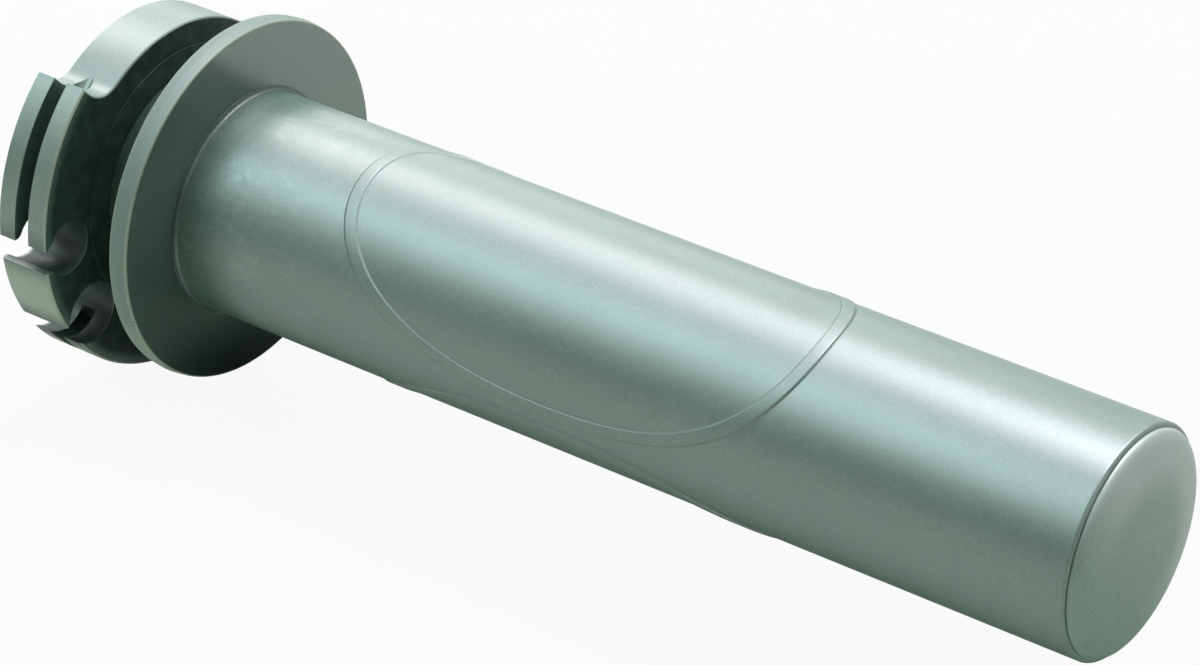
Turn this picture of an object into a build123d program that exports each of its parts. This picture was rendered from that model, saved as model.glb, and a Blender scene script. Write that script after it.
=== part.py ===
"""Throttle grip for a 22 mm handlebar.

One tube carries three fitted pieces: a two-cable reel at its inboard end, a stop flange for
the switch housing to run against, and an end cap pressed into its outboard end.

Millimetres. +X runs along the handlebar, outboard. +Y is forward and +Z is up, with the
throttle closed. The origin is on the bore's axis, at the reel's inboard face.
Angles round the axis are measured from +Y towards +Z.
"""
from build123d import *
from math import cos, copysign, pi, radians, sin
import os

os.makedirs("parts", exist_ok=True)

# Handlebar bore
BORE_RADIUS = 11.25
BORE_LEAD_IN = 0.4

# Stations along the axis
REEL_WIDTH = 6.85
REEL_BOSS_HEIGHT = 0.25
FLANGE_BACK = 14.6
FLANGE_THICKNESS = 2.5
FLANGE_FRONT = FLANGE_BACK + FLANGE_THICKNESS
TUBE_END = 131.7

# Tube
REEL_SEAT_RADIUS = 12.2
NECK_RADIUS = 12.6
GRIP_ROOT_RADIUS = 12.97
GRIP_TIP_RADIUS = 12.84
ROOT_FLARE = 0.55
TIP_BEVEL = 0.4

# Raised oval borders, one on each half of the tube
OVAL_CENTRE_X = 67.5
OVAL_ANGLES = (106.0, 286.0)
OVAL_HALF_LENGTH = 29.55
OVAL_HALF_SWEEP = 83.3
OVAL_EXPONENT = 2.15
BORDER_WIDTH = 1.5
BORDER_HEIGHT = 0.12
BORDER_ROOT_DEPTH = 0.5
OVAL_POINTS = 32

# Stop flange
FLANGE_RADIUS = 21.25
FLANGE_DRAFT = 0.15
FLANGE_EDGE = 0.25

# Cable reel
RIM_RADIUS = 23.0
WINDING_RADIUS = 18.6
STEP_ANGLE = 130.3
STEP_FILLET = 3.4
FLAT_ANGLE = 54.4
REEL_BOSS_RADIUS = 15.6
REEL_EDGE = 0.2

# Cable grooves: a slot with a round floor that leaves the reel along a tangent
GROOVE_WIDTH = 1.95
GROOVE_FLOOR_RADIUS = 18.4
PULL_GROOVE = (181.95, 131.0)
RETURN_GROOVE = (213.3, 280.0)
RUN_OUT_LENGTH = 16.0

# Keyhole pockets for the cable nipples: pitch radius, angle, radius, neck angle
PULL_POCKET = (19.2, 181.95, 3.2, 182.4)
RETURN_POCKET = (19.35, 213.3, 3.7, 211.75)
POCKET_NECK_WIDTH = 3.05
POCKET_CORNER = 0.9

# End cap
CAP_SEAT_RADIUS = 11.75
CAP_SEAT_DEPTH = 5.5
CAP_RADIUS = 12.3
CAP_EDGE = 1.0
CAP_HEIGHT = 2.0
CAP_DOME = 0.9
CAP_HEAD_DEPTH = 1.2
SPIGOT_CLEARANCE = 0.06
SPIGOT_LENGTH = 5.0
SPIGOT_WALL = 1.3
SPIGOT_LEAD_IN = 0.5


def on_circle(radius, angle):
    """Point in the YZ plane at a radius and an angle from +Y towards +Z."""
    return (radius * cos(radians(angle)), radius * sin(radians(angle)))


def ring_about_x(outline):
    """Solid turned about the handlebar's axis from an (x, radius) outline."""
    return revolve(Plane.XY * make_face(outline), Axis.X)


def tube_body():
    """Stepped sleeve: reel seat, neck, and a tapered grip with a flared root and a bevelled tip."""
    shoulder = REEL_WIDTH + REEL_BOSS_HEIGHT
    cap_seat_start = TUBE_END - CAP_SEAT_DEPTH
    outline = Polyline(
        (0, BORE_RADIUS + BORE_LEAD_IN),
        (0, REEL_SEAT_RADIUS),
        (shoulder, REEL_SEAT_RADIUS),
        (shoulder, NECK_RADIUS),
        (FLANGE_FRONT, NECK_RADIUS),
        (FLANGE_FRONT, GRIP_ROOT_RADIUS + ROOT_FLARE),
        (FLANGE_FRONT + ROOT_FLARE, GRIP_ROOT_RADIUS),
        (TUBE_END - TIP_BEVEL, GRIP_TIP_RADIUS),
        (TUBE_END, GRIP_TIP_RADIUS - TIP_BEVEL),
        (TUBE_END, CAP_SEAT_RADIUS),
        (cap_seat_start, CAP_SEAT_RADIUS),
        (cap_seat_start, BORE_RADIUS),
        (BORE_LEAD_IN, BORE_RADIUS),
        close=True,
    )
    return ring_about_x(outline)


def oval_curve(radius, offset, centre_angle):
    """Closed oval wrapped round the tube at a radius, grown by an offset along the surface."""
    half_length = OVAL_HALF_LENGTH + offset
    half_sweep = radians(OVAL_HALF_SWEEP) + offset / GRIP_ROOT_RADIUS
    power = 2 / OVAL_EXPONENT
    points = []
    for index in range(OVAL_POINTS):
        turn = 2 * pi * index / OVAL_POINTS
        along = half_length * copysign(abs(cos(turn)) ** power, cos(turn))
        around = radians(centre_angle) + half_sweep * copysign(abs(sin(turn)) ** power, sin(turn))
        points.append((OVAL_CENTRE_X + along, radius * cos(around), radius * sin(around)))
    return Spline(*points, periodic=True)


def oval_border(centre_angle):
    """Raised border: a closed band with four ruled sides, rooted inside the tube's wall."""
    low = GRIP_TIP_RADIUS - BORDER_ROOT_DEPTH
    high = GRIP_ROOT_RADIUS + BORDER_HEIGHT
    half = BORDER_WIDTH / 2
    loops = [
        oval_curve(low, -half, centre_angle),
        oval_curve(high, -half, centre_angle),
        oval_curve(high, half, centre_angle),
        oval_curve(low, half, centre_angle),
    ]
    sides = [Face.make_surface_from_curves(a, b) for a, b in zip(loops, loops[1:] + loops[:1])]
    return Solid(Shell(sides))


def grip_tube():
    """Tube with its two raised oval borders."""
    tube = tube_body()
    for angle in OVAL_ANGLES:
        tube += oval_border(angle)
    return tube


def stop_flange():
    """Thin disc with bevelled edges and a rim drafted both ways from its middle."""
    middle = FLANGE_BACK + FLANGE_THICKNESS / 2
    edge_radius = FLANGE_RADIUS - FLANGE_DRAFT
    outline = Polyline(
        (FLANGE_BACK, NECK_RADIUS),
        (FLANGE_BACK, edge_radius - FLANGE_EDGE),
        (FLANGE_BACK + FLANGE_EDGE, edge_radius),
        (middle, FLANGE_RADIUS),
        (FLANGE_FRONT - FLANGE_EDGE, edge_radius),
        (FLANGE_FRONT, edge_radius - FLANGE_EDGE),
        (FLANGE_FRONT, NECK_RADIUS),
        close=True,
    )
    return ring_about_x(outline)


def reel_profile():
    """Rim that drops by a filleted step to the winding sector and rises again by a tangent flat."""
    reach = 2 * RIM_RADIUS
    rim = Circle(RIM_RADIUS)
    sector = make_face(Polyline(
        (0, 0),
        on_circle(reach, FLAT_ANGLE),
        on_circle(reach, (FLAT_ANGLE + STEP_ANGLE) / 2),
        on_circle(reach, STEP_ANGLE),
        close=True,
    ))
    beyond_flat = Rot(0, 0, FLAT_ANGLE - 90) * Pos(reach / 2, WINDING_RADIUS + reach / 2) * Rectangle(
        reach, reach)
    profile = rim - sector - beyond_flat + Circle(WINDING_RADIUS)
    foot = profile.vertices().sort_by_distance(on_circle(WINDING_RADIUS, STEP_ANGLE))[0]
    return fillet(foot, STEP_FILLET)


def reel_disc():
    """Reel blank with bevelled outer edges and a low thrust boss on its outboard face."""
    disc = extrude(Plane.YZ * reel_profile(), REEL_WIDTH)
    rims = disc.faces().filter_by(Axis.X).edges()
    disc = chamfer(rims, REEL_EDGE)
    boss = Plane.YZ.offset(REEL_WIDTH) * Circle(REEL_BOSS_RADIUS)
    disc += extrude(boss, REEL_BOSS_HEIGHT)
    seat = Plane.YZ * Circle(REEL_SEAT_RADIUS)
    return disc - extrude(seat, REEL_WIDTH + REEL_BOSS_HEIGHT)


def cable_groove(start_angle, end_angle):
    """Slot from a pocket round to an angle, then straight out along the tangent there."""
    outward = Vector(0, *on_circle(1, end_angle))
    section_plane = Plane((REEL_WIDTH / 2, 0, 0), x_dir=(1, 0, 0), z_dir=Vector(1, 0, 0).cross(outward))
    floor_centre = GROOVE_FLOOR_RADIUS + GROOVE_WIDTH / 2
    depth = RIM_RADIUS + 1 - floor_centre
    slot = Pos(0, floor_centre + depth / 2) * Rectangle(GROOVE_WIDTH, depth)
    section = section_plane * (slot + Pos(0, floor_centre) * Circle(GROOVE_WIDTH / 2))
    wound = revolve(section, Axis.X, start_angle - end_angle)
    heading = copysign(1, end_angle - start_angle)
    tangent = Vector(0, *on_circle(heading, end_angle + 90))
    return wound + extrude(section, RUN_OUT_LENGTH, dir=tangent)


def keyhole_pocket(pitch_radius, angle, radius, neck_angle):
    """Nipple pocket through the reel's width, open to the rim by a narrower neck."""
    neck_reach = RIM_RADIUS + 2
    neck = Rot(0, 0, neck_angle) * Pos((pitch_radius + neck_reach) / 2, 0) * Rectangle(
        neck_reach - pitch_radius, POCKET_NECK_WIDTH)
    hole = Pos(*on_circle(pitch_radius, angle)) * Circle(radius)
    keyhole = hole + neck
    throat = keyhole.vertices().filter_by(
        lambda v: pitch_radius < (v.X ** 2 + v.Y ** 2) ** 0.5 < RIM_RADIUS)
    keyhole = fillet(throat, POCKET_CORNER)
    return extrude(Plane.YZ * keyhole, REEL_WIDTH + REEL_BOSS_HEIGHT)


def cable_reel():
    """Two-cable reel: a pull groove over the top and a return groove underneath."""
    reel = reel_disc()
    reel -= cable_groove(*PULL_GROOVE)
    reel -= cable_groove(*RETURN_GROOVE)
    reel -= keyhole_pocket(*PULL_POCKET)
    reel -= keyhole_pocket(*RETURN_POCKET)
    return reel


def end_cap():
    """Domed cap that butts on the tube's end, with a hollow spigot inside the tube."""
    spigot_radius = CAP_SEAT_RADIUS - SPIGOT_CLEARANCE
    spigot_end = TUBE_END - SPIGOT_LENGTH
    crown = TUBE_END + CAP_HEIGHT
    shoulder = crown - CAP_DOME
    inside = TUBE_END - CAP_HEAD_DEPTH
    half_bevel = CAP_EDGE * (1 - cos(radians(45)))
    outline = Polyline(
        (crown, 0),
        (inside, 0),
        (inside, spigot_radius - SPIGOT_WALL),
        (spigot_end, spigot_radius - SPIGOT_WALL),
        (spigot_end, spigot_radius - SPIGOT_LEAD_IN),
        (spigot_end + SPIGOT_LEAD_IN, spigot_radius),
        (TUBE_END, spigot_radius),
        (TUBE_END, CAP_RADIUS),
        (shoulder - CAP_EDGE, CAP_RADIUS),
        (shoulder - half_bevel, CAP_RADIUS - half_bevel),
        (shoulder, CAP_RADIUS - CAP_EDGE),
        (crown, CAP_RADIUS - CAP_EDGE),
        close=True,
    )
    chord = CAP_RADIUS - CAP_EDGE
    dome_radius = (chord ** 2 + CAP_DOME ** 2) / (2 * CAP_DOME)
    return ring_about_x(outline) & Pos(crown - dome_radius, 0, 0) * Sphere(dome_radius)


PARTS = {
    "grip_tube": grip_tube,
    "stop_flange": stop_flange,
    "cable_reel": cable_reel,
    "end_cap": end_cap,
}

for name, build in PARTS.items():
    export_step(build(), f"parts/{name}.step")
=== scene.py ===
"""Throttle grip: visible surfaces, finishes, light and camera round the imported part.

The part's frame is kept. +X runs along the handlebar towards the closed end, +Y is forward
and +Z is up. The origin is on the bore's axis, at the reel's inboard face. Turned pieces are
(x, radius) outlines carried round +X, with angles measured from +Y towards +Z. Metres.
"""
from __future__ import annotations

import logging
import math
from dataclasses import dataclass, field
from enum import Enum

import bmesh
import bpy
import numpy as np
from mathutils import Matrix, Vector


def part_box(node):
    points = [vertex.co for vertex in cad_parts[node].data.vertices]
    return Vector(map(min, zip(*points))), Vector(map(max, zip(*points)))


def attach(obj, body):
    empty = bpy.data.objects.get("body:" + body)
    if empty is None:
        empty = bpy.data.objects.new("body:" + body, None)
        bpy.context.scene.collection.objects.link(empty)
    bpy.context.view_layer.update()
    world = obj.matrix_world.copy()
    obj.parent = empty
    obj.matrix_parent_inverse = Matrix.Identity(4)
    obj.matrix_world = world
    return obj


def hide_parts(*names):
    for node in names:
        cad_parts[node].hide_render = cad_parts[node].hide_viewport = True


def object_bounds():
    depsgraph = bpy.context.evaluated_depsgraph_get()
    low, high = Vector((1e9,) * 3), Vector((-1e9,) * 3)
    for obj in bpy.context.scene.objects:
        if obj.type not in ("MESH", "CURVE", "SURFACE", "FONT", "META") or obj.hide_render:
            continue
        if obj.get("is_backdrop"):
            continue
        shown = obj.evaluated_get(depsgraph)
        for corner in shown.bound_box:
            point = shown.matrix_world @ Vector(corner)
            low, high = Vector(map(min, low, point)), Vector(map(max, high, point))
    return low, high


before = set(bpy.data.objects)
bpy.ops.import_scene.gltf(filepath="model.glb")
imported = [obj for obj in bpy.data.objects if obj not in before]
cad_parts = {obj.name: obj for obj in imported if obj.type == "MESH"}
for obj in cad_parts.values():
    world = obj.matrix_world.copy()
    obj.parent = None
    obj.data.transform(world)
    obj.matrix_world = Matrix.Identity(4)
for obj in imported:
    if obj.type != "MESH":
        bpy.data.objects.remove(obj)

log = logging.getLogger("throttle_grip")
MM = 0.001
SAME_PLACE = 1e-7
SUPPORT = 0.04 * MM  # from a rounded corner to its support point
SUPPORT_SHARE = 0.2  # of a short side that a support point may take
MIDDLE = 0.5  # of a noise from 0 to 1
WHITE = (1, 1, 1, 1)

Band = tuple[float, float]  # where a soft step starts and where it is full
Triple = tuple[float, float, float]
Colour = tuple[float, float, float, float]


class Slot(Enum):
    """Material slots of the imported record."""

    TUBE = "tube"
    FLANGE = "flange"
    REEL = "reel"
    CAP = "cap"


class Body(Enum):
    """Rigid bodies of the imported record."""

    GRIP = "grip"
    END_CAP = "end_cap"


# ---------------------------------------------------------------- mesh building


def units(vectors: np.ndarray) -> tuple[np.ndarray, np.ndarray]:
    """Split row vectors into their lengths and the same directions at a length of one."""
    lengths = np.linalg.norm(vectors, axis=1, keepdims=True)
    return lengths, vectors / lengths


def rounded_outline(corners: np.ndarray, radii: np.ndarray, steps: int) -> np.ndarray:
    """Round the corners of a closed outline.

    Each corner is replaced by an arc that touches both of its sides. The arc's centre lies on
    the corner's bisector at radius / sin(half angle), and its points turn evenly from one
    tangent point to the other. A support point stands just before and just after each arc, so
    that smooth shading leaves the flats flat.

    Args:
        corners: (n, 2) corner points in order.
        radii: (n, 1) radius of each corner, zero for a corner that stays sharp.
        steps: Points along each arc.

    Returns:
        (m, 2) points of the rounded outline, without repeats.
    """
    back_length, back = units(np.roll(corners, 1, axis=0) - corners)
    ahead_length, ahead = units(np.roll(corners, -1, axis=0) - corners)
    half = np.arccos(np.clip((back * ahead).sum(axis=1, keepdims=True), -1, 1)) / 2
    reach = radii / np.tan(half)
    bisector = units(back + ahead)[1]
    centre = corners + bisector * radii / np.sin(half)
    start = corners + back * reach - centre
    side = np.sign(back[:, :1] * ahead[:, 1:] - back[:, 1:] * ahead[:, :1])
    turn = -side * (math.pi - 2 * half) * np.linspace(0, 1, steps)[None, :]
    arc_x = start[:, :1] * np.cos(turn) - start[:, 1:] * np.sin(turn)
    arc_y = start[:, :1] * np.sin(turn) + start[:, 1:] * np.cos(turn)
    arcs = centre[:, None, :] + np.stack([arc_x, arc_y], axis=2)
    before = corners + back * (reach + np.minimum(SUPPORT, SUPPORT_SHARE * back_length))
    after = corners + ahead * (reach + np.minimum(SUPPORT, SUPPORT_SHARE * ahead_length))
    points = np.concatenate([before[:, None], arcs, after[:, None]], axis=1).reshape(-1, 2)
    apart = np.linalg.norm(points - np.roll(points, 1, axis=0), axis=1) > SAME_PLACE
    return points[apart]


def grid_faces(rows: int, columns: int, close_rows: bool) -> np.ndarray:
    """Quads of a grid of vertices, numbered row by row, whose last column joins the first.

    Args:
        rows: Rows of vertices.
        columns: Vertices in each row.
        close_rows: Whether the last row joins the first.

    Returns:
        (n, 4) vertex numbers.
    """
    row = np.arange(rows if close_rows else rows - 1)[:, None]
    column = np.arange(columns)[None, :]
    next_row = (row + 1) % rows
    next_column = (column + 1) % columns
    corners = [
        row * columns + column,
        row * columns + next_column,
        next_row * columns + next_column,
        next_row * columns + column,
    ]
    return np.stack(corners, axis=-1).reshape(-1, 4)


def mesh_object(name: str, vertices: np.ndarray, faces: np.ndarray) -> bpy.types.Object:
    """Make a smooth-shaded mesh object.

    Args:
        name: Name of the piece.
        vertices: (n, 3) places.
        faces: (m, 4) vertex numbers.

    Returns:
        The object, linked to the scene.
    """
    mesh = bpy.data.meshes.new(name)
    mesh.from_pydata(vertices.tolist(), [], faces.tolist())
    mesh.update()
    mesh.validate()
    mesh.shade_smooth()
    piece = bpy.data.objects.new(name, mesh)
    bpy.context.scene.collection.objects.link(piece)
    return piece


def merge_doubles(piece: bpy.types.Object) -> None:
    """Merge coincident vertices and turn every face outwards.

    Args:
        piece: Closed mesh to clean.
    """
    work = bmesh.new()
    work.from_mesh(piece.data)
    bmesh.ops.remove_doubles(work, verts=work.verts, dist=SAME_PLACE)
    bmesh.ops.dissolve_degenerate(work, edges=work.edges, dist=SAME_PLACE)
    bmesh.ops.recalc_face_normals(work, faces=work.faces)
    work.to_mesh(piece.data)
    work.free()
    piece.data.shade_smooth()


def turned(name: str, rows: np.ndarray, columns: int, steps: int = 7) -> bpy.types.Object:
    """Round the corners of a closed outline and turn it about +X.

    A vertex of the grid lies at (x, r cos a, r sin a), where the row gives x and r and the
    column gives the angle a. Rows on the axis shrink to a point and are merged there.

    Args:
        name: Name of the piece.
        rows: (n, 3) corners as x, radius and the corner's own radius of rounding.
        columns: Vertices round the axis.
        steps: Points along each rounded corner.

    Returns:
        The turned piece.
    """
    outline = rounded_outline(rows[:, :2], rows[:, 2:], steps)
    angle = np.linspace(0, 2 * math.pi, columns, endpoint=False)[None, :]
    x, radius = outline[:, :1], outline[:, 1:]
    grid = np.stack([x + 0 * angle, radius * np.cos(angle), radius * np.sin(angle)], axis=-1)
    faces = grid_faces(len(outline), columns, close_rows=True)
    piece = mesh_object(name, grid.reshape(-1, 3), faces)
    merge_doubles(piece)
    return piece


# ---------------------------------------------------------------- shader building


class Value:
    """A number that varies over a surface, so that sockets can be used in sums."""

    def __init__(self, shader: Shader, socket: bpy.types.NodeSocket) -> None:
        """Wrap an output socket of a shader's node."""
        self.shader = shader
        self.socket = socket

    def _math(self, operation: str, first: Value | float, second: Value | float) -> Value:
        """Add a Math node on two values or numbers."""
        node = self.shader.node("ShaderNodeMath", {"operation": operation}, {0: first, 1: second})
        return Value(self.shader, node.outputs[0])

    def __add__(self, other: Value | float) -> Value:
        """Sum."""
        return self._math("ADD", self, other)

    __radd__ = __add__

    def __mul__(self, other: Value | float) -> Value:
        """Product."""
        return self._math("MULTIPLY", self, other)

    __rmul__ = __mul__

    def __sub__(self, other: Value | float) -> Value:
        """Difference."""
        return self._math("SUBTRACT", self, other)

    def __rsub__(self, other: Value | float) -> Value:
        """Difference with the number first."""
        return self._math("SUBTRACT", other, self)

    def __truediv__(self, other: Value | float) -> Value:
        """Quotient."""
        return self._math("DIVIDE", self, other)

    def __rtruediv__(self, other: Value | float) -> Value:
        """Quotient with the number first."""
        return self._math("DIVIDE", other, self)

    def __pow__(self, other: float) -> Value:
        """Power."""
        return self._math("POWER", self, other)

    def __abs__(self) -> Value:
        """Size without its sign."""
        return self._math("ABSOLUTE", self, 0.0)


def length(first: Value, second: Value) -> Value:
    """Length of a vector with two parts at a right angle."""
    return (first * first + second * second) ** 0.5


def at_least(mask: Value, least: float) -> Value:
    """Mask that falls from 1 to a least value and no further."""
    return mask * (1 - least) + least


@dataclass(frozen=True)
class Pattern:
    """Noise on a piece: its size, its octaves and how rough, stretched, turned and warped it is.

    The stretch scales the coordinates along each axis, so below 1 it draws the noise out.
    """

    size: float
    detail: float = 2.0
    rough: float = 0.5
    stretch: Triple = (1, 1, 1)
    turn: Triple = (0, 0, 0)
    warp: float = 0.0


class Shader:
    """Node tree of a material or of the world."""

    def __init__(self, owner: bpy.types.Material | bpy.types.World) -> None:
        """Start an empty tree.

        Args:
            owner: Material or world that the tree belongs to.
        """
        owner.use_nodes = True
        self.owner = owner
        self.tree = owner.node_tree
        self.tree.nodes.clear()

    def node(self, kind: str, settings: dict | None = None,
             inputs: dict | None = None) -> bpy.types.Node:
        """Add any node.

        Args:
            kind: The node's type.
            settings: Its settings, set first.
            inputs: Socket names or numbers with their numbers, Values or output sockets.

        Returns:
            The new node.
        """
        made = self.tree.nodes.new(kind)
        for key, value in (settings or {}).items():
            setattr(made, key, value)
        for key, value in (inputs or {}).items():
            if isinstance(value, Value):
                value = value.socket
            if isinstance(value, bpy.types.NodeSocket):
                self.tree.links.new(value, made.inputs[key])
            else:
                made.inputs[key].default_value = value
        return made

    def here(self) -> bpy.types.NodeSocket:
        """Place on the piece, in its own coordinates."""
        return self.node("ShaderNodeTexCoord").outputs["Object"]

    def parts(self, vector: bpy.types.NodeSocket) -> tuple[Value, Value, Value]:
        """Split a vector into its three parts."""
        split = self.node("ShaderNodeSeparateXYZ", {}, {"Vector": vector}).outputs
        return Value(self, split[0]), Value(self, split[1]), Value(self, split[2])

    def axes(self) -> tuple[Value, Value, Value]:
        """Place on the piece as three values."""
        return self.parts(self.here())

    def rays(self) -> tuple[Value, Value]:
        """Tell rays to the eye or through glass from reflections.

        Returns:
            1 for a ray to the eye or through glass, and 1 for a reflected ray.
        """
        path = self.node("ShaderNodeLightPath").outputs
        seen = Value(self, path["Is Camera Ray"]) + Value(self, path["Is Transmission Ray"])
        return seen, Value(self, path["Is Glossy Ray"])

    def noise(self, pattern: Pattern) -> Value:
        """Noise from 0 to 1.

        Args:
            pattern: Size and character of the noise.

        Returns:
            The noise.
        """
        mapped = self.node("ShaderNodeMapping", {}, {
            "Vector": self.here(), "Scale": pattern.stretch, "Rotation": pattern.turn})
        node = self.node("ShaderNodeTexNoise", {}, {
            "Vector": mapped.outputs["Vector"], "Scale": 1 / pattern.size,
            "Detail": pattern.detail, "Roughness": pattern.rough, "Distortion": pattern.warp})
        return Value(self, node.outputs["Fac"])

    def step(self, value: Value, low: float, high: float) -> Value:
        """Smooth step from 0 at low to 1 at high, where high may be the smaller."""
        node = self.node("ShaderNodeMapRange", {"interpolation_type": "SMOOTHSTEP"}, {
            "Value": value, "From Min": low, "From Max": high})
        return Value(self, node.outputs["Result"])

    def spot(self, distance: Value, width: float) -> Value:
        """Soft mark that is full up to 0.4 of its width and gone at its width."""
        return self.step(distance, width, 0.4 * width)

    def specks(self, spacing: float, radius: float, share: float) -> Value:
        """Sparse dots: one at most in each cell, and only in a share of the cells.

        Args:
            spacing: Size of a cell.
            radius: Radius of a dot.
            share: Share of the cells that hold a dot.

        Returns:
            1 on the dots.
        """
        cells = self.node("ShaderNodeTexVoronoi", {}, {"Vector": self.here(), "Scale": 1 / spacing})
        near = self.spot(Value(self, cells.outputs["Distance"]), radius / spacing)
        split = self.node("ShaderNodeSeparateColor", {}, {"Color": cells.outputs["Color"]})
        return near * self.step(Value(self, split.outputs["Red"]), share, share - 0.01)

    def tint(self, base: bpy.types.NodeSocket | Colour, other: Colour,
             amount: Value) -> bpy.types.NodeSocket:
        """Mix a colour into another by an amount from 0 to 1."""
        node = self.node("ShaderNodeMix", {"data_type": "RGBA"}, {0: amount, 6: base, 7: other})
        return node.outputs[2]

    def bump(self, height: Value, depth: float,
             below: bpy.types.NodeSocket | None = None) -> bpy.types.NodeSocket:
        """Normal of a relief.

        Args:
            height: Height from 0 to 1.
            depth: Real depth of a height of 1.
            below: Normal of the relief that this one lies on.

        Returns:
            The normal.
        """
        inputs = {"Height": height, "Distance": depth, "Strength": 1.0}
        if below is not None:
            inputs["Normal"] = below
        return self.node("ShaderNodeBump", {}, inputs).outputs["Normal"]

    def blend(self, amount: Value, first: bpy.types.Node,
              second: bpy.types.Node) -> bpy.types.Node:
        """Mix the surfaces of two shader nodes by an amount from 0 to 1."""
        surfaces = {0: amount, 1: first.outputs[0], 2: second.outputs[0]}
        return self.node("ShaderNodeMixShader", {}, surfaces)

    def finish(self, surface: bpy.types.Node, output: str = "ShaderNodeOutputMaterial") -> None:
        """Send a shader node's surface to the tree's output."""
        self.node(output, {}, {"Surface": surface.outputs[0]})


# ---------------------------------------------------------------- finishes


def srgb(red: int, green: int, blue: int) -> Colour:
    """Linear colour of an 8-bit display colour.

    Args:
        red: Red from 0 to 255.
        green: Green from 0 to 255.
        blue: Blue from 0 to 255.

    Returns:
        The linear colour, opaque.
    """
    shown = np.array([red, green, blue]) / 255
    linear = np.where(shown <= 0.04045, shown / 12.92, ((shown + 0.055) / 1.055) ** 2.4)
    return (*linear.tolist(), 1.0)


@dataclass
class Look:
    """What varies over a surface while its finish is being built up."""

    colour: bpy.types.NodeSocket
    roughness: Value
    normal: bpy.types.NodeSocket
    painted_shade: Value | None = None


@dataclass(frozen=True)
class MouldedPlastic:
    """Satin glass-filled nylon: fine grain, faint flow mottling and pale specks.

    A piece whose marks set painted shade has a dull dark surface mixed over the plastic there, as
    shade painted into the finish.
    """

    name: str
    colour: Colour = srgb(75, 107, 92)
    pale: Colour = srgb(109, 136, 123)
    dark: Colour = srgb(51, 76, 64)
    olive: Colour = srgb(146, 160, 126)
    wear_and_light_pale: Colour = srgb(146, 165, 140)
    chalk: Colour = srgb(180, 190, 184)
    roughness: float = 0.40
    index: float = 1.8
    gloss: float = 1.0
    painted_shade_colour: Colour = srgb(20, 34, 31)
    painted_shade_roughness: float = 0.7
    painted_shade_gloss: float = 0.15
    grain: Pattern = Pattern(0.28 * MM, detail=3, rough=0.65)
    grain_depth: float = 0.008 * MM
    grain_pale: Band = (0.5, 0.75)
    grain_dark: Band = (0.5, 0.25)
    grain_tint: float = 0.6
    grain_roughness: float = 0.10
    mottle: Pattern = Pattern(3.2 * MM, detail=4, rough=0.6, stretch=(0.55, 1, 1))
    mottle_depth: float = 0.012 * MM
    mottle_dark: Band = (0.6, 0.3)
    mottle_tint: float = 0.2
    mottle_roughness: float = 0.10
    cloud: Pattern = Pattern(14.4 * MM, stretch=(0.5, 1, 1))
    cloud_roughness: float = 0.08
    speck_spacing: float = 4.5 * MM
    speck_radius: float = 0.16 * MM
    speck_share: float = 0.3
    speck_tint: float = 0.6

    def material(self) -> bpy.types.Material:
        """Build the finish.

        Returns:
            The material.
        """
        s = Shader(bpy.data.materials.new(self.name))
        look = self.ground(s)
        self.mark(s, look)
        surface = s.node("ShaderNodeBsdfPrincipled", {}, {
            "Base Color": look.colour,
            "Roughness": look.roughness,
            "Normal": look.normal,
            "IOR": self.index,
            "Specular IOR Level": self.gloss,
        })
        # Painted shade: a dull dark surface mixed over the plastic where the marks set it.
        if look.painted_shade is not None:
            shade_surface = s.node("ShaderNodeBsdfPrincipled", {}, {
                "Base Color": self.painted_shade_colour,
                "Roughness": self.painted_shade_roughness,
                "Normal": look.normal,
                "Specular IOR Level": self.painted_shade_gloss,
            })
            surface = s.blend(look.painted_shade, surface, shade_surface)
        s.finish(surface)
        return s.owner

    def ground(self, s: Shader) -> Look:
        """Build what every moulded surface has.

        Args:
            s: Shader to build in.

        Returns:
            The plain moulded look.
        """
        grain, mottle, cloud = s.noise(self.grain), s.noise(self.mottle), s.noise(self.cloud)
        specks = s.specks(self.speck_spacing, self.speck_radius, self.speck_share)
        dark_flow = s.step(mottle, *self.mottle_dark) * self.mottle_tint
        colour = s.tint(self.colour, self.dark, dark_flow)
        colour = s.tint(colour, self.pale, s.step(grain, *self.grain_pale) * self.grain_tint)
        colour = s.tint(colour, self.dark, s.step(grain, *self.grain_dark) * self.grain_tint)
        colour = s.tint(colour, self.chalk, specks * self.speck_tint)
        rough = self.roughness + (cloud - MIDDLE) * self.cloud_roughness
        rough = rough + (mottle - MIDDLE) * self.mottle_roughness
        rough = rough + (grain - MIDDLE) * self.grain_roughness
        normal = s.bump(mottle, self.mottle_depth)
        return Look(colour, rough, s.bump(grain, self.grain_depth, normal))

    def mark(self, s: Shader, look: Look) -> None:
        """Add the marks of one piece. The plain finish has none."""


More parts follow.
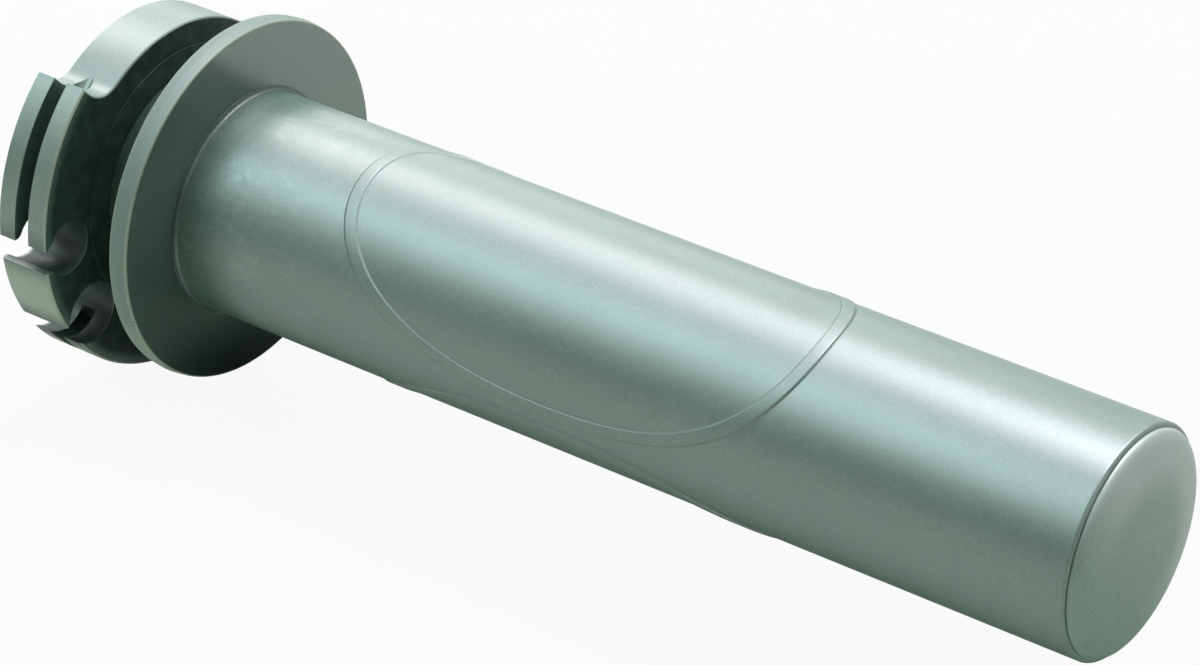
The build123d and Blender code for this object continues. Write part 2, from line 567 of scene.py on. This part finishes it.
@dataclass(frozen=True)
class SleevePlastic(MouldedPlastic):
    """Moulded plastic of the sleeve: smears by the flange, long scuffs, and painted shade behind
    the flange and at the root.
    """

    by_flange: Band = (40 * MM, 19 * MM)
    smear: Pattern = Pattern(2.1 * MM, 3, 0.55, (0.7, 1, 1), (0.5, 0, 0.6), 1.2)
    smear_part: Band = (0.5, 0.68)
    smear_elsewhere: float = 0.1
    smear_tint: float = 0.6
    smear_polish: float = 0.09
    ripple: Pattern = Pattern(1.1 * MM, 3, 0.6, (0.6, 1, 1), (0, 0, 0.5), 0.6)
    ripple_elsewhere: float = 0.15
    ripple_depth: float = 0.03 * MM
    streak: Pattern = Pattern(0.45 * MM, rough=0.6, stretch=(0.03, 1, 1))
    streak_part: Band = (0.63, 0.72)
    handled: Pattern = Pattern(9 * MM, stretch=(0.4, 1, 1))
    handled_part: Band = (0.56, 0.7)
    scuff_tint: float = 0.3
    scuff_roughness: float = 0.1
    gap: Band = (14.7 * MM, 14.6 * MM)
    gap_painted_shade: float = 0.55
    root: Band = (17.7 * MM, 17.4 * MM)
    root_painted_shade: float = 0.45
    rear: Band = (-10.36 * MM, -12.0435 * MM)
    rear_above: Band = (0, 2 * MM)
    rear_painted_shade: float = 0.2

    def mark(self, s: Shader, look: Look) -> None:
        """Add the smears, the scuffs, and painted shade behind the flange and in the root's fillet.

        Args:
            s: Shader to build in.
            look: Look to mark.
        """
        x, y, z = s.axes()
        near_flange = s.step(x, *self.by_flange)
        smear_and_shade = s.step(s.noise(self.smear), *self.smear_part)
        smear_and_shade = smear_and_shade * at_least(near_flange, self.smear_elsewhere)
        scuff = s.step(s.noise(self.streak), *self.streak_part)
        scuff = scuff * s.step(s.noise(self.handled), *self.handled_part)
        look.colour = s.tint(look.colour, self.pale, smear_and_shade * self.smear_tint)
        look.colour = s.tint(look.colour, self.pale, scuff * self.scuff_tint)
        look.roughness = look.roughness - smear_and_shade * self.smear_polish + scuff * self.scuff_roughness
        ripple = s.noise(self.ripple) * at_least(near_flange, self.ripple_elsewhere)
        look.normal = s.bump(ripple, self.ripple_depth, look.normal)
        # Painted shade: darker in the gap behind the flange and in the root's fillet, more so on
        # the root's upper rear side.
        in_gap = s.step(x, *self.gap)
        at_root = s.step(x, *self.root) * (1 - in_gap)
        at_rear = s.step(y, *self.rear) * s.step(z, *self.rear_above)
        root_shade = at_root * (self.root_painted_shade + at_rear * self.rear_painted_shade)
        look.painted_shade = in_gap * self.gap_painted_shade + root_shade


@dataclass(frozen=True)
class FlangePlastic(MouldedPlastic):
    """Moulded plastic of the stop flange: pale edges, a parting line, an arc, scratches, and
    painted light and shade on the rim and face.

    The edge and rim parts are bands in from the corner, in edge widths. A lean is the share
    of y that is added to z, so that a boundary slopes across the face.
    """

    rim: float = 21.1 * MM
    back: float = 14.6 * MM
    front: float = 17.1 * MM
    edge: float = 0.25 * MM
    edge_part: Band = (1.6, 0.6)
    rim_part: Band = (1.0, 0.4)
    edge_tint: float = 0.75
    parting_angle: float = 197.0
    parting_side: Band = (0, 1 * MM)
    parting_width: float = 0.14 * MM
    parting_depth: float = 0.03 * MM
    parting_tint: float = 0.8
    arc_angle: float = 205.0
    arc_ends: Band = (0.93, 0.99)
    arc_radius: float = 15.9 * MM
    arc_width: float = 0.1 * MM
    arc_tint: float = 0.5
    scratch: Pattern = Pattern(0.5 * MM, stretch=(1, 0.04, 1), turn=(0.8, 0, 0))
    scratch_part: Band = (0.68, 0.74)
    scratched: Pattern = Pattern(7 * MM)
    scratched_part: Band = (0.5, 0.65)
    scratch_tint: float = 0.45
    rim_top_shade: Band = (4 * MM, 12 * MM)
    rim_top_shade_tint: float = 0.5
    rim_bottom_light: Band = (-4 * MM, -14 * MM)
    rim_bottom_light_tint: float = 0.75
    rim_roughness: float = 0.25
    low_side: Band = (19 * MM, -15 * MM)
    low_side_lean: float = 0.6
    low_side_wander: Pattern = Pattern(6 * MM, detail=3)
    low_side_reach: float = 4 * MM
    low_side_painted_shade: float = 0.5
    bottom: Band = (-9 * MM, -19 * MM)
    bottom_painted_shade: float = 0.4
    top_side: Band = (17.5 * MM, 14 * MM)
    top_side_lean: float = 0.9
    top_side_above: Band = (8 * MM, 17 * MM)
    top_side_painted_shade: float = 0.45

    def mark(self, s: Shader, look: Look) -> None:
        """Add the marks.

        Args:
            s: Shader to build in.
            look: Look to mark.
        """
        x, y, z = s.axes()
        radius = length(y, z)
        rim_far, rim_near = (share * self.edge for share in self.rim_part)
        on_rim = s.step(radius, self.rim - rim_far, self.rim - rim_near)
        look.colour = self.edged(s, look.colour, x, on_rim)
        across, along = self.turned_axes(y, z, self.parting_angle)
        parting_line = s.spot(abs(across), self.parting_width) * on_rim
        parting_line = parting_line * s.step(along, *self.parting_side)
        along = self.turned_axes(y, z, self.arc_angle)[1]
        arc = s.spot(abs(radius - self.arc_radius), self.arc_width)
        arc = arc * s.step(along / radius, *self.arc_ends)
        scratches = s.step(s.noise(self.scratch), *self.scratch_part)
        scratches = scratches * s.step(s.noise(self.scratched), *self.scratched_part)
        pale_mark = arc * self.arc_tint + scratches * self.scratch_tint
        # Painted light and shade: the rim is darker on top and paler underneath.
        rim_top_shade = on_rim * s.step(z, *self.rim_top_shade) * self.rim_top_shade_tint
        rim_bottom_light = on_rim * s.step(z, *self.rim_bottom_light) * self.rim_bottom_light_tint
        look.colour = s.tint(look.colour, self.dark, parting_line * self.parting_tint)
        look.colour = s.tint(look.colour, self.pale, pale_mark)
        look.colour = s.tint(look.colour, self.dark, rim_top_shade)
        look.colour = s.tint(look.colour, self.wear_and_light_pale, rim_bottom_light)
        look.roughness = look.roughness + on_rim * self.rim_roughness
        look.normal = s.bump(1 - parting_line, self.parting_depth, look.normal)
        # Painted shade on the face inside the rim.
        look.painted_shade = self.smear_and_shade(s, y, z) * (1 - on_rim)

    def edged(self, s: Shader, colour: bpy.types.NodeSocket, x: Value,
              on_rim: Value) -> bpy.types.NodeSocket:
        """Tint both edges of the rim.

        Args:
            s: Shader to build in.
            colour: Colour to tint.
            x: Place along the axis.
            on_rim: 1 on the rim.

        Returns:
            The tinted colour.
        """
        far, near = (share * self.edge for share in self.edge_part)
        by_front = s.step(x, self.front - far, self.front - near)
        by_back = s.step(x, self.back + far, self.back + near)
        return s.tint(colour, self.olive, on_rim * (by_front + by_back) * self.edge_tint)

    def smear_and_shade(self, s: Shader, y: Value, z: Value) -> Value:
        """Painted shade on the face: it deepens downwards, and a painted shadow's sharp boundary
        crosses the top.

        Args:
            s: Shader to build in.
            y: Place forward.
            z: Place upward.

        Returns:
            The painted shade from 0 to 1.
        """
        wander = s.noise(self.low_side_wander) * self.low_side_reach
        low_side = s.step(z + y * self.low_side_lean + wander, *self.low_side)
        top_side = s.step(z + y * self.top_side_lean, *self.top_side)
        top_side = top_side * s.step(z, *self.top_side_above)
        bottom = s.step(z, *self.bottom) * self.bottom_painted_shade
        return low_side * self.low_side_painted_shade + bottom + top_side * self.top_side_painted_shade

    @staticmethod
    def turned_axes(y: Value, z: Value, degrees: float) -> tuple[Value, Value]:
        """Place across and along a radius at an angle from +Y."""
        cosine, sine = math.cos(math.radians(degrees)), math.sin(math.radians(degrees))
        return z * cosine - y * sine, y * cosine + z * sine


@dataclass(frozen=True)
class ReelPlastic(MouldedPlastic):
    """Moulded plastic of the reel: pale edges, and painted shade in the groove, in the pockets and
    on the face towards the flange.

    A slope is z / radius, the sine of the angle from +Y. A pocket is the y, z and radius of
    its round end, and its part is a band in shares of that radius. The edge part is a band in
    from the corner, in edge widths.
    """

    polish: Colour = srgb(84, 88, 94)
    rim: float = 23.0 * MM
    width: float = 6.85 * MM
    edge: float = 0.2 * MM
    edge_part: Band = (1.8, 0.6)
    edge_tint: float = 0.75
    below_winding: Band = (0.76, 0.74)
    groove: Band = (1.0 * MM, 0.95 * MM)
    groove_floor: Band = (18.15 * MM, 18.35 * MM)
    groove_top: Band = (22.95 * MM, 22.7 * MM)
    groove_tint: float = 0.3
    groove_painted_shade: float = 0.7
    upper_slope: Band = (0.1, 0.16)
    upper_behind: Band = (-2 * MM, -4 * MM)
    lower_slope: Band = (-0.66, -0.74)
    pockets: tuple = ((-19.19 * MM, -0.65 * MM, 3.2 * MM), (-16.17 * MM, -10.62 * MM, 3.7 * MM))
    pocket_part: Band = (1.7, 0.7)
    pocket_outboard: Band = (6.83 * MM, 6.6 * MM)
    pocket_inboard: Band = (0.02 * MM, 0.5 * MM)
    pocket_painted_shade: float = 0.95
    face: Band = (6.73 * MM, 6.83 * MM)
    face_inside: Band = (22.6 * MM, 21.4 * MM)
    face_patch: Pattern = Pattern(2.2 * MM, detail=3)
    face_patch_part: Band = (0.25, 0.7)
    face_patch_painted_shade: float = 0.2
    face_painted_shade: float = 0.6
    pale_mark: Band = (22.7 * MM, 22.9 * MM)
    pale_noise: Pattern = Pattern(3 * MM, detail=3)
    pale_noise_tint: float = 0.3
    tail: Band = (-1 * MM, -4 * MM)
    tail_tint: float = 0.6

    def mark(self, s: Shader, look: Look) -> None:
        """Add the marks.

        Args:
            s: Shader to build in.
            look: Look to mark.
        """
        x, y, z = s.axes()
        radius = length(y, z)
        slope = z / radius
        below_winding = s.step(slope, *self.below_winding)
        upper = s.step(slope, *self.upper_slope) * below_winding * s.step(y, *self.upper_behind)
        in_groove = s.step(abs(x - self.width / 2), *self.groove)
        in_groove = in_groove * (upper + s.step(slope, *self.lower_slope))
        in_groove = in_groove * s.step(radius, *self.groove_top)
        in_groove = in_groove * s.step(radius, *self.groove_floor)
        pale_noise = s.noise(self.pale_noise) * self.pale_noise_tint + s.step(z, *self.tail) * self.tail_tint
        pale_mark = s.step(radius, *self.pale_mark) * below_winding * pale_noise
        look.colour = s.tint(look.colour, self.polish, in_groove * self.groove_tint)
        look.colour = s.tint(look.colour, self.wear_and_light_pale, pale_mark)
        look.colour = s.tint(look.colour, self.olive, self.corner(s, x, radius) * self.edge_tint)
        # Painted shade: darker on the face towards the flange, in the pockets and in the groove.
        on_face = s.step(x, *self.face) * s.step(radius, *self.face_inside)
        patchy = s.step(s.noise(self.face_patch), *self.face_patch_part)
        on_face = on_face * (patchy * self.face_patch_painted_shade + self.face_painted_shade)
        in_pocket = self.in_pockets(s, x, y, z) * self.pocket_painted_shade
        look.painted_shade = on_face + in_pocket + in_groove * self.groove_painted_shade

    def corner(self, s: Shader, x: Value, radius: Value) -> Value:
        """Mask of the outboard edge of the rim."""
        far, near = (share * self.edge for share in self.edge_part)
        return s.step(radius, self.rim - far, self.rim - near) * s.step(
            x, self.width - far, self.width - near)

    def in_pockets(self, s: Shader, x: Value, y: Value, z: Value) -> Value:
        """Mask of the pockets' round ends, between the two faces of the reel.

        Args:
            s: Shader to build in.
            x: Place along the axis.
            y: Place forward.
            z: Place upward.

        Returns:
            1 in the pockets.
        """
        inside = s.step(x, *self.pocket_outboard) * s.step(x, *self.pocket_inboard)
        masks = 0.0
        for centre_y, centre_z, reach in self.pockets:
            away = length(y - centre_y, z - centre_z)
            far, near = (share * reach for share in self.pocket_part)
            masks = masks + s.step(away, far, near) * inside
        return masks


@dataclass(frozen=True)
class CapPlastic(MouldedPlastic):
    """Moulded plastic of the cap, with a painted sheen pale round its shoulder on the upper forward
    side.

    The lean is the share of y that is added to z, so that the side slopes.
    """

    shoulder: Band = (5.0 * MM, 9.5 * MM)
    crown: Band = (131.7 * MM, 131.8 * MM)
    side: Band = (-11 * MM, 7 * MM)
    side_lean: float = 1.2
    pale_noise: Pattern = Pattern(4 * MM, detail=3)
    pale_noise_tint: float = 0.3
    sheen_least: float = 0.55

    def mark(self, s: Shader, look: Look) -> None:
        """Add the painted sheen on the shoulder.

        Args:
            s: Shader to build in.
            look: Look to mark.
        """
        x, y, z = s.axes()
        on_crown = s.step(x, *self.crown)
        on_side = s.step(z + y * self.side_lean, *self.side)
        # Painted sheen: a chalk-pale tint round the shoulder on the upper forward side.
        pale_noise = s.noise(self.pale_noise) * self.pale_noise_tint + self.sheen_least
        pale_mark = s.step(length(y, z), *self.shoulder) * pale_noise
        look.colour = s.tint(look.colour, self.chalk, pale_mark * on_side * on_crown)


@dataclass(frozen=True)
class StudioFloor:
    """Plain sweep that the eye sees as near white, with the object's shadow on it.

    Reflections see it as white behind the object and beyond its end, as half white in front,
    and as it is lit under the object.
    """

    name: str = "studio_floor"
    colour: Colour = srgb(200, 211, 196)
    fleck_colour: Colour = srgb(195, 206, 192)
    fleck: Pattern = Pattern(6 * MM, detail=3)
    fleck_part: Band = (0.3, 0.8)
    lift: float = 0.93
    back_lift: float = 0.9
    back: Band = (32 * MM, 68 * MM)
    beyond: Band = (100 * MM, 125 * MM)
    beyond_side: Band = (12 * MM, 50 * MM)
    front_lift: float = 0.55
    front: Band = (0.0, -20 * MM)
    front_end: Band = (150 * MM, 125 * MM)

    def material(self) -> bpy.types.Material:
        """Build a matt colour, mixed with plain white for rays to the eye and in reflections.

        Returns:
            The material.
        """
        s = Shader(bpy.data.materials.new(self.name))
        flecks = s.step(s.noise(self.fleck), *self.fleck_part)
        colour = s.tint(self.colour, self.fleck_colour, flecks)
        matt = s.node("ShaderNodeBsdfDiffuse", {}, {"Color": colour, "Roughness": 1.0})
        white = s.node("ShaderNodeEmission", {}, {"Color": WHITE, "Strength": 1.0})
        seen, reflected = s.rays()
        x, y, _ = s.axes()
        behind = s.step(y, *self.back)
        beyond = s.step(x, *self.beyond) * s.step(y, *self.beyond_side)
        ahead = s.step(y, *self.front) * s.step(x, *self.front_end)
        mirrored = (behind + (1 - behind) * beyond) * self.back_lift + ahead * self.front_lift
        s.finish(s.blend(seen * self.lift + reflected * mirrored, matt, white))
        return s.owner


# ---------------------------------------------------------------- pieces


def dress(piece: bpy.types.Object, body: Body, finish: bpy.types.Material) -> None:
    """Give a piece its body and its finish.

    Args:
        piece: Piece to dress.
        body: Body that it rides on.
        finish: Material that it wears.
    """
    piece.data.materials.clear()
    piece.data.materials.append(finish)
    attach(piece, body.value)
    log.info("piece %s rides on %s with finish %s", piece.name, body.value, finish.name)


@dataclass
class GripTube:
    """Sleeve that turns on the handlebar, with a flared root and two raised oval borders."""

    bore: float = 11.25 * MM
    bore_edge: float = 0.1 * MM
    lead_in: float = 0.4 * MM
    reel_seat: float = 12.2 * MM
    neck: float = 12.6 * MM
    crisp: float = 0.05 * MM
    flare: float = 0.55 * MM
    flare_length: float = 0.12 * MM
    flare_edge: float = 0.03 * MM
    root: float = 12.97 * MM
    root_fillet: float = 0.38 * MM
    tip: float = 12.84 * MM
    tip_bevel: float = 0.4 * MM
    cap_seat: float = 11.75 * MM
    cap_seat_depth: float = 5.5 * MM
    columns: int = 256
    oval_angles: tuple = (106.0, 286.0)
    oval_centre: float = 67.5 * MM
    oval_half_length: float = 29.55 * MM
    oval_half_sweep: float = 83.3
    oval_exponent: float = 2.15
    oval_columns: int = 360
    border_width: float = 1.5 * MM
    border_foot: float = 0.11 * MM
    border_brow: float = 0.1 * MM
    border_top: float = 13.09 * MM
    finish: SleevePlastic = field(default_factory=lambda: SleevePlastic("tube_plastic"))
    border_finish: MouldedPlastic = field(
        default_factory=lambda: MouldedPlastic("border_plastic", roughness=0.44))

    def build(self) -> None:
        """Build the sleeve and its borders, and dress them."""
        sleeve = self.sleeve()
        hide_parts("grip_tube")
        dress(sleeve, Body.GRIP, self.finish.material())
        matt = self.border_finish.material()
        for number, angle in enumerate(self.oval_angles, 1):
            dress(self.border(f"oval_border_{number}", angle), Body.GRIP, matt)

    def sleeve(self) -> bpy.types.Object:
        """Turned sleeve, from the reel's seat to the bevelled tip.

        Returns:
            The sleeve.
        """
        low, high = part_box("grip_tube")
        reel_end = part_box("cable_reel")[1].x
        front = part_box("stop_flange")[1].x
        flare_end = front + self.flare_length
        inner_end = high.x - self.cap_seat_depth
        rows = np.array([
            (low.x, self.bore + self.lead_in, 0.0),
            (low.x, self.reel_seat, 0.0),
            (reel_end, self.reel_seat, 0.0),
            (reel_end, self.neck, self.crisp),
            (front, self.neck, 0.0),
            (front, self.root + self.flare, self.flare_edge),
            (flare_end, self.root + self.flare, self.crisp),
            (flare_end, self.root, self.root_fillet),
            (high.x, self.tip, self.tip_bevel),
            (high.x, self.cap_seat, self.crisp),
            (inner_end, self.cap_seat, 0.0),
            (inner_end, self.bore, self.crisp),
            (low.x + self.lead_in, self.bore, self.bore_edge),
        ])
        return turned("sleeve", rows, self.columns)

    def surface_radius(self, x: np.ndarray) -> np.ndarray:
        """Outer radius of the bare sleeve, a straight taper from root to tip.

        Args:
            x: Places along the axis.

        Returns:
            The radius at each place.
        """
        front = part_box("stop_flange")[1].x
        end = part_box("grip_tube")[1].x
        return self.root + (self.tip - self.root) * (x - front) / (end - front)

    def border(self, name: str, centre_angle: float) -> bpy.types.Object:
        """Raised border: a flat band's section carried round an oval wrapped on the sleeve.

        The oval is x = c + a sgn(cos t) |cos t|^p and angle = m + b sgn(sin t) |sin t|^p, where
        p is 2 / exponent. A point of the section that lies d across the band uses a + d for
        the half length and b + d / r for the half sweep, and stands h above the sleeve.

        Args:
            name: Name of the piece.
            centre_angle: Angle of the oval's middle, in degrees.

        Returns:
            The border.
        """
        across, height = np.split(self.border_section(), 2, axis=1)
        turn = np.linspace(0, 2 * math.pi, self.oval_columns, endpoint=False)[None, :]
        power = 2 / self.oval_exponent
        bend_x = np.sign(np.cos(turn)) * np.abs(np.cos(turn)) ** power
        bend_y = np.sign(np.sin(turn)) * np.abs(np.sin(turn)) ** power
        half_sweep = math.radians(self.oval_half_sweep) + across / self.root
        x = self.oval_centre + (self.oval_half_length + across) * bend_x
        angle = math.radians(centre_angle) + half_sweep * bend_y
        bare = self.surface_radius(x)
        radius = bare + (self.border_top - bare) * height
        grid = np.stack([x, radius * np.cos(angle), radius * np.sin(angle)], axis=-1)
        faces = grid_faces(len(across), turn.size, close_rows=False)
        return mesh_object(name, grid.reshape(-1, 3), faces)

    def border_section(self) -> np.ndarray:
        """Section of a border: a foot sunk in the sleeve, a slope, a rounded brow and a flat.

        Returns:
            (n, 2) distances across the band, with heights as shares of the border's height.
        """
        side, foot, brow = -self.border_width / 2, self.border_foot, self.border_brow
        rise = np.array([
            (side - foot, -0.04),
            (side - foot, 0.0),
            (side - 0.5 * foot, 0.05),
            (side, 0.25),
            (side + 0.35 * brow, 0.75),
            (side + brow, 0.96),
            (side + 2 * brow, 1.0),
        ])
        return np.concatenate([rise, [(0.0, 1.0)], rise[::-1] * (-1, 1)])


@dataclass
class StopFlange:
    """Disc that stops the switch housing, with a rim drafted both ways from its middle."""

    seat: float = 12.6 * MM
    draft: float = 0.15 * MM
    edge: float = 0.25 * MM
    middle_edge: float = 0.08 * MM
    columns: int = 256
    finish: FlangePlastic = field(default_factory=lambda: FlangePlastic("flange_plastic"))

    def build(self) -> None:
        """Build the disc and dress it."""
        low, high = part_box("stop_flange")
        middle = (low.x + high.x) / 2
        rows = np.array([
            (low.x, self.seat, 0.0),
            (high.x, self.seat, 0.0),
            (high.x, high.z - self.draft, self.edge),
            (middle, high.z, self.middle_edge),
            (low.x, high.z - self.draft, self.edge),
        ])
        piece = turned("flange", rows, self.columns)
        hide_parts("stop_flange")
        dress(piece, Body.GRIP, self.finish.material())


@dataclass
class CableReel:
    """Grooved reel with two keyhole pockets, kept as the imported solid."""

    finish: ReelPlastic = field(default_factory=lambda: ReelPlastic("reel_plastic"))

    def build(self) -> None:
        """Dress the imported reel."""
        dress(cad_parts["cable_reel"], Body.GRIP, self.finish.material())


@dataclass
class EndCap:
    """Pillow-shaped cap with a hollow spigot."""

    seat: float = 11.69 * MM
    wall: float = 1.3 * MM
    head_depth: float = 1.2 * MM
    head_fillet: float = 0.2 * MM
    lead_in: float = 0.5 * MM
    spigot_edge: float = 0.1 * MM
    crisp: float = 0.05 * MM
    radius_exponent: float = 2.2
    height_exponent: float = 2.6
    crown_start: float = 0.84
    crown_points: int = 36
    corner_steps: int = 9
    columns: int = 192
    # Painted light: the cap's plastic is a paler copy of the sleeve's, lifted to stand in for
    # light.
    finish: CapPlastic = field(default_factory=lambda: CapPlastic(
        "cap_plastic", colour=srgb(110, 139, 125), pale=srgb(136, 160, 148), roughness=0.48))

    def build(self) -> None:
        """Build the cap and dress it."""
        piece = self.shell()
        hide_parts("end_cap")
        dress(piece, Body.END_CAP, self.finish.material())

    def shell(self) -> bpy.types.Object:
        """Turned cap: a hollow spigot, a shoulder and a crown.

        Returns:
            The cap.
        """
        low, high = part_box("end_cap")
        tube_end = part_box("grip_tube")[1].x
        rows = np.array([
            (tube_end - self.head_depth, 0, 0.0),
            (tube_end - self.head_depth, self.seat - self.wall, self.head_fillet),
            (low.x, self.seat - self.wall, self.spigot_edge),
            (low.x, self.seat - self.lead_in, self.spigot_edge),
            (low.x + self.lead_in, self.seat, self.spigot_edge),
            (tube_end, self.seat, self.crisp),
            (tube_end, high.z, self.crisp),
        ])
        rows = np.concatenate([rows, self.crown(high.z, tube_end, high.x)])
        return turned("cap", rows, self.columns, self.corner_steps)

    def crown(self, rim: float, foot: float, top: float) -> np.ndarray:
        """Crown of the cap, a superellipse from the rim to the axis.

        Its height h over the tube's end at radius r follows (r / rim)^p + (h / rise)^q = 1,
        where p and q are the two exponents. Its points run by an angle t with
        r = rim cos(t)^(2/p) and h = rise sin(t)^(2/q), closer together at the rim.

        Args:
            rim: Radius of the rim.
            foot: Place of the tube's end along the axis.
            top: Place of the crown's top along the axis.

        Returns:
            (n, 3) x, radius and a rounding of zero.
        """
        start = math.radians(self.crown_start)
        sweep = math.radians(90 - self.crown_start)
        turn = start + sweep * np.linspace(0, 1, self.crown_points) ** 2
        radius = rim * np.maximum(np.cos(turn), 0.0) ** (2 / self.radius_exponent)
        radius[-1] = 0.0
        x = foot + (top - foot) * np.sin(turn) ** (2 / self.height_exponent)
        return np.stack([x, radius, np.zeros_like(radius)], axis=1)


# ---------------------------------------------------------------- studio


def hang(item: bpy.types.Object, aim: Vector, towards: Vector, distance: float) -> None:
    """Place a lamp or the camera at a distance from the aim point, facing it.

    Args:
        item: Lamp or camera.
        aim: Point that it faces.
        towards: Direction from the aim point to it.
        distance: Its distance from the aim point.
    """
    item.location = aim + towards * distance
    item.rotation_euler = (-towards).to_track_quat("-Z", "Y").to_euler()
    bpy.context.scene.collection.objects.link(item)
    log.info("%s at %s", item.name, tuple(round(place, 4) for place in item.location))


@dataclass
class Lamp:
    """Soft square lamp aimed at the object, on a bearing from +X towards +Y."""

    name: str
    bearing: float
    elevation: float
    strength: float
    colour: Triple = (1.0, 1.0, 1.0)
    distance: float = 1.0
    size: float = 0.36

    def build(self, aim: Vector) -> None:
        """Hang the lamp on its bearing from the aim point.

        Args:
            aim: Point that the lamp faces.
        """
        data = bpy.data.lights.new(self.name, "AREA")
        data.shape = "SQUARE"
        data.size = self.size
        data.energy = self.strength
        data.color = self.colour
        bearing, elevation = math.radians(self.bearing), math.radians(self.elevation)
        towards = Vector((
            math.cos(bearing) * math.cos(elevation),
            math.sin(bearing) * math.cos(elevation),
            math.sin(elevation),
        ))
        hang(bpy.data.objects.new(self.name, data), aim, towards, self.distance)


@dataclass
class Studio:
    """Pale floor, soft lamps, dim world and the camera.

    The aim point lies at a share of the object's length, at a y and a z. Where the studio
    stands open, reflections see a greyer world. The two bands say where, by direction.
    """

    floor_size: float = 6.0
    floor_gap: float = 0.05 * MM
    floor_finish: StudioFloor = field(default_factory=StudioFloor)
    world_fill: float = 0.02
    open_shade: float = 0.65
    open_front: Band = (-0.1, -0.6)
    open_low: Band = (0.75, 0.2)
    camera_azimuth: float = 36.3
    camera_elevation: float = 32.06
    camera_distance: float = 473.5 * MM
    camera_lens: float = 132.3
    camera_sensor: float = 36.0
    camera_clip: tuple = (0.01, 20.0)
    aim_share: float = 0.4918
    aim_side: tuple = (0.38 * MM, 0.22 * MM)
    lamps: tuple = (
        Lamp("top_softbox", 108, 74, 9.8, (0.9, 0.9, 1.0), size=0.5),
        Lamp("rear_softbox", 144, 42, 2.0, (1.0, 0.97, 1.0)),
        Lamp("rear_low_softbox", 126, 15, 0.85, (0.97, 1.0, 1.0)),
        Lamp("side_softbox", 168, 52, 0.6, (0.93, 0.9, 1.0)),
        Lamp("front_softbox", 216, 52, 2.0, (0.66, 0.97, 1.0)),
        Lamp("front_low_softbox", 240, 42, 1.1, (0.72, 1.0, 1.0)),
        Lamp("end_softbox", 75, 50, 3.0, (0.97, 1.0, 0.97)),
    )

    def build(self) -> None:
        """Build the floor, lamps, world and camera, and set the plain view transform."""
        bpy.context.scene.view_settings.view_transform = "Standard"
        low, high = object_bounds()
        aim = Vector((low.x + (high.x - low.x) * self.aim_share, *self.aim_side))
        self.build_floor(low.z)
        self.build_world()
        for lamp in self.lamps:
            lamp.build(aim)
        self.build_camera(aim)

    def build_floor(self, level: float) -> None:
        """Lay the floor just under the object.

        Args:
            level: Height of the object's lowest point.
        """
        half = self.floor_size / 2
        corners = np.array([(-half, -half), (half, -half), (half, half), (-half, half)])
        places = np.column_stack([corners, np.full(len(corners), level - self.floor_gap)])
        floor = mesh_object("floor", places, np.array([[0, 1, 2, 3]]))
        floor.data.materials.append(self.floor_finish.material())
        floor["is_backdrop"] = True

    def build_world(self) -> None:
        """White to the eye and in reflections, and a dim fill for everything else.

        Reflections see it greyer low in front, where a studio stands open.
        """
        world = bpy.data.worlds.new("studio_world")
        bpy.context.scene.world = world
        s = Shader(world)
        _, y, z = s.parts(s.node("ShaderNodeTexCoord").outputs["Generated"])
        open_side = s.step(y, *self.open_front) * s.step(z, *self.open_low)
        seen, reflected = s.rays()
        seen = seen + reflected * (1 - open_side * self.open_shade)
        strength = at_least(seen, self.world_fill)
        glow = s.node("ShaderNodeBackground", {}, {"Color": WHITE, "Strength": strength})
        s.finish(glow, "ShaderNodeOutputWorld")

    def build_camera(self, aim: Vector) -> None:
        """Place the camera on its bearing round the aim point.

        Args:
            aim: Point at the middle of the picture.
        """
        azimuth = math.radians(self.camera_azimuth)
        elevation = math.radians(self.camera_elevation)
        towards = Vector((
            math.sin(azimuth) * math.cos(elevation),
            -math.cos(azimuth) * math.cos(elevation),
            math.sin(elevation),
        ))
        data = bpy.data.cameras.new("camera")
        data.lens = self.camera_lens
        data.sensor_width = self.camera_sensor
        data.clip_start, data.clip_end = self.camera_clip
        camera = bpy.data.objects.new("camera", data)
        hang(camera, aim, towards, self.camera_distance)
        bpy.context.scene.camera = camera


def main() -> None:
    """Build the pieces in order, then the studio."""
    logging.basicConfig(level=logging.INFO, format="%(name)s: %(message)s")
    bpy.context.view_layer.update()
    for part in (GripTube(), StopFlange(), CableReel(), EndCap()):
        part.build()
    Studio().build()


if __name__ == "__main__":
    main()
